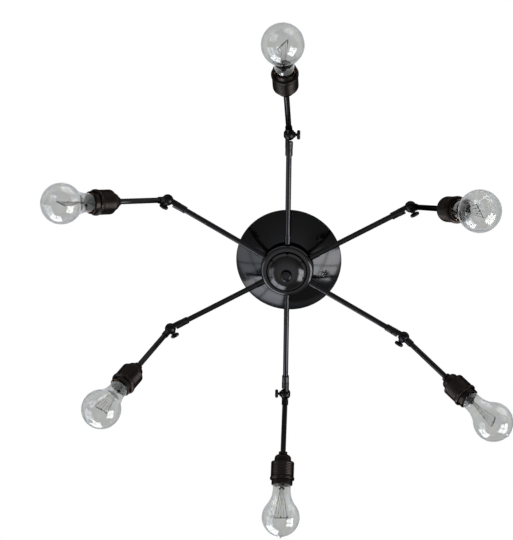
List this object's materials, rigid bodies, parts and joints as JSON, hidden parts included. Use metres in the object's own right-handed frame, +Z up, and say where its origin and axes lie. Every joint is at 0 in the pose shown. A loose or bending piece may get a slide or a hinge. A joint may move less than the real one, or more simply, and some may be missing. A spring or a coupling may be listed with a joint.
{
  "type": "sputnik chandelier",
  "caption": "Semi-flush ceiling light: straight arms spread level from a drum under the canopy, each with a clamped knuckle, a tilting tube, a lampholder and a clear bulb.",
  "frame": {"origin": "centre of the canopy's ceiling face, midway between the crossbar's slots", "axes": "+Z up into the ceiling, arm 1 along -Y"},
  "size_m": [0.6969, 0.7972, 0.2489],
  "materials": {
    "gloss_black": "gloss black-bronze lacquer",
    "tube_black": "satin black",
    "knuckle_black": "satin black",
    "holder_bronze": "dark oil-rubbed bronze, satin",
    "zinc_steel": "zinc plated",
    "green_steel": "green earth screw",
    "lead_pvc": "lead insulation",
    "insert_ceramic": "glazed insulator with a brass shell",
    "bulb_glass": "clear",
    "bulb_brass": "dull brass"
  },
  "bodies": {
    "ceiling_unit": {"canopy": "gloss_black", "crossbar": "zinc_steel", "earth_screw": "green_steel", "centre_nipple": "zinc_steel", "lock_nuts": "zinc_steel", "hub_body": "gloss_black", "hub_cap": "gloss_black", "finial": "gloss_black", "tube_couplings": "tube_black", "arm_tubes": "tube_black", "swivel_bases": "knuckle_black", "wiring": "lead_pvc"},
    "arm_1": {"swivel_head_1": "knuckle_black", "outer_tube_1": "tube_black", "holder_cap_1": "holder_bronze", "holder_shell_1": "holder_bronze", "holder_insert_1": "insert_ceramic"},
    "bulb_1": {"bulb_glass_1": "bulb_glass", "bulb_core_1": "bulb_brass"},
    "key_1": {"thumb_key_1": "knuckle_black"},
    "arm_2": {"swivel_head_2": "knuckle_black", "outer_tube_2": "tube_black", "holder_cap_2": "holder_bronze", "holder_shell_2": "holder_bronze", "holder_insert_2": "insert_ceramic"},
    "bulb_2": {"bulb_glass_2": "bulb_glass", "bulb_core_2": "bulb_brass"},
    "key_2": {"thumb_key_2": "knuckle_black"},
    "arm_3": {"swivel_head_3": "knuckle_black", "outer_tube_3": "tube_black", "holder_cap_3": "holder_bronze", "holder_shell_3": "holder_bronze", "holder_insert_3": "insert_ceramic"},
    "bulb_3": {"bulb_glass_3": "bulb_glass", "bulb_core_3": "bulb_brass"},
    "key_3": {"thumb_key_3": "knuckle_black"},
    "arm_4": {"swivel_head_4": "knuckle_black", "outer_tube_4": "tube_black", "holder_cap_4": "holder_bronze", "holder_shell_4": "holder_bronze", "holder_insert_4": "insert_ceramic"},
    "bulb_4": {"bulb_glass_4": "bulb_glass", "bulb_core_4": "bulb_brass"},
    "key_4": {"thumb_key_4": "knuckle_black"},
    "arm_5": {"swivel_head_5": "knuckle_black", "outer_tube_5": "tube_black", "holder_cap_5": "holder_bronze", "holder_shell_5": "holder_bronze", "holder_insert_5": "insert_ceramic"},
    "bulb_5": {"bulb_glass_5": "bulb_glass", "bulb_core_5": "bulb_brass"},
    "key_5": {"thumb_key_5": "knuckle_black"},
    "arm_6": {"swivel_head_6": "knuckle_black", "outer_tube_6": "tube_black", "holder_cap_6": "holder_bronze", "holder_shell_6": "holder_bronze", "holder_insert_6": "insert_ceramic"},
    "bulb_6": {"bulb_glass_6": "bulb_glass", "bulb_core_6": "bulb_brass"},
    "key_6": {"thumb_key_6": "knuckle_black"}
  },
  "joints": [
    {"name": "knuckle_1", "type": "hinge", "parent": "ceiling_unit", "child": "arm_1", "pos_m": [0, -0.216, -0.044], "axis": [0.9994, 0, -0.0349], "range_deg": [-39.5, 50.5]},
    {"name": "key_turn_1", "type": "hinge", "parent": "ceiling_unit", "child": "key_1", "pos_m": [0, -0.216, -0.044], "axis": [0.9994, 0, -0.0349], "range_deg": [0, 360]},
    {"name": "bulb_out_1", "type": "slide", "parent": "arm_1", "child": "bulb_1", "axis": [-0.0222, -0.7716, -0.6357], "range_m": [0, 0.028]},
    {"name": "knuckle_2", "type": "hinge", "parent": "ceiling_unit", "child": "arm_2", "pos_m": [0.18706, -0.108, -0.044], "axis": [0.5, 0.866, 0], "range_deg": [-61, 29]},
    {"name": "key_turn_2", "type": "hinge", "parent": "ceiling_unit", "child": "key_2", "pos_m": [0.18706, -0.108, -0.044], "axis": [0.5, 0.866, 0], "range_deg": [0, 360]},
    {"name": "bulb_out_2", "type": "slide", "parent": "arm_2", "child": "bulb_2", "axis": [0.4199, -0.2424, -0.8746], "range_m": [0, 0.028]},
    {"name": "knuckle_3", "type": "hinge", "parent": "ceiling_unit", "child": "arm_3", "pos_m": [0.18706, 0.108, -0.044], "axis": [-0.4999, 0.8659, 0.0175], "range_deg": [-39.5, 50.5]},
    {"name": "key_turn_3", "type": "hinge", "parent": "ceiling_unit", "child": "key_3", "pos_m": [0.18706, 0.108, -0.044], "axis": [-0.4999, 0.8659, 0.0175], "range_deg": [0, 360]},
    {"name": "bulb_out_3", "type": "slide", "parent": "arm_3", "child": "bulb_3", "axis": [0.6627, 0.3954, -0.636], "range_m": [0, 0.028]},
    {"name": "knuckle_4", "type": "hinge", "parent": "ceiling_unit", "child": "arm_4", "pos_m": [0, 0.216, -0.044], "axis": [-0.9998, 0, -0.0175], "range_deg": [-41, 49]},
    {"name": "key_turn_4", "type": "hinge", "parent": "ceiling_unit", "child": "key_4", "pos_m": [0, 0.216, -0.044], "axis": [-0.9998, 0, -0.0175], "range_deg": [0, 360]},
    {"name": "bulb_out_4", "type": "slide", "parent": "arm_4", "child": "bulb_4", "axis": [0.0114, 0.7547, -0.656], "range_m": [0, 0.028]},
    {"name": "knuckle_5", "type": "hinge", "parent": "ceiling_unit", "child": "arm_5", "pos_m": [-0.18706, 0.108, -0.044], "axis": [-0.4985, -0.8634, -0.0785], "range_deg": [-60, 30]},
    {"name": "key_turn_5", "type": "hinge", "parent": "ceiling_unit", "child": "key_5", "pos_m": [-0.18706, 0.108, -0.044], "axis": [0.4985, 0.8634, 0.0785], "range_deg": [0, 360]},
    {"name": "bulb_out_5", "type": "slide", "parent": "arm_5", "child": "bulb_5", "axis": [-0.399, 0.3088, -0.8634], "range_m": [0, 0.028]},
    {"name": "knuckle_6", "type": "hinge", "parent": "ceiling_unit", "child": "arm_6", "pos_m": [-0.18706, -0.108, -0.044], "axis": [0.4862, -0.8421, -0.2334], "range_deg": [-49.5, 40.5]},
    {"name": "key_turn_6", "type": "hinge", "parent": "ceiling_unit", "child": "key_6", "pos_m": [-0.18706, -0.108, -0.044], "axis": [-0.4862, 0.8421, 0.2334], "range_deg": [0, 360]},
    {"name": "bulb_out_6", "type": "slide", "parent": "arm_6", "child": "bulb_6", "axis": [-0.6512, -0.171, -0.7394], "range_m": [0, 0.028]}
  ]
}
